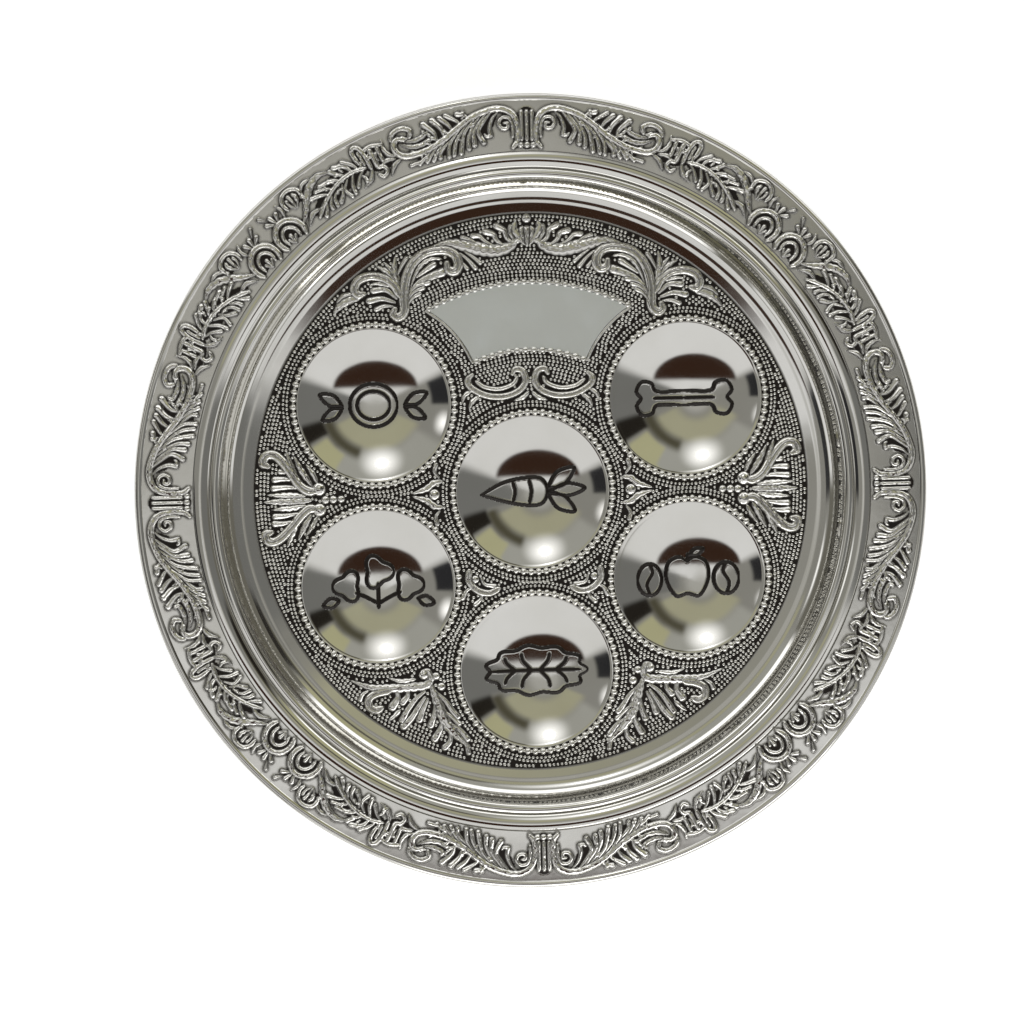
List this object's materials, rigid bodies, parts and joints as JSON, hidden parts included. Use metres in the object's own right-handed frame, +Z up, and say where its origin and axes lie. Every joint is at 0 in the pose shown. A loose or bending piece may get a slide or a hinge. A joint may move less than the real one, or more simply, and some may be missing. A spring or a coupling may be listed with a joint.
{
  "type": "seder plate",
  "caption": "Round silver-plated tray with a leaf-scroll border and a pebbled centre panel carrying beaded bowls for ritual foods and a bare plaque.",
  "frame": {"origin": "under the middle of the plate, on the surface that it stands on", "axes": "+Z up out of the bowls, +Y from the middle bowl towards the plaque, +X to the right"},
  "size_m": [0.3999, 0.4, 0.0259],
  "materials": {
    "polished_silver": "bright silver plate, mirror polished",
    "struck_silver": "struck silver plate with darkened recesses",
    "antique_silver": "pebbled silver plate, blackened between the pebbles",
    "bead_silver": "bright beaded wire",
    "satin_silver": "satin silver plate",
    "steel_wire": "drawn steel wire"
  },
  "bodies": {
    "root": {"tray": "polished_silver", "rim_wire": "steel_wire", "rim_border": "struck_silver", "centre_panel": "antique_silver", "plaque": "satin_silver", "plaque_bead_frame": "bead_silver", "bitter_herb_bowl": "polished_silver", "shank_bone_bowl": "polished_silver", "egg_bowl": "polished_silver", "greens_bowl": "polished_silver", "lettuce_bowl": "polished_silver", "sweet_paste_bowl": "polished_silver", "bitter_herb_bead_collar": "bead_silver", "shank_bone_bead_collar": "bead_silver", "egg_bead_collar": "bead_silver", "greens_bead_collar": "bead_silver", "lettuce_bead_collar": "bead_silver", "sweet_paste_bead_collar": "bead_silver"}
  },
  "joints": []
}
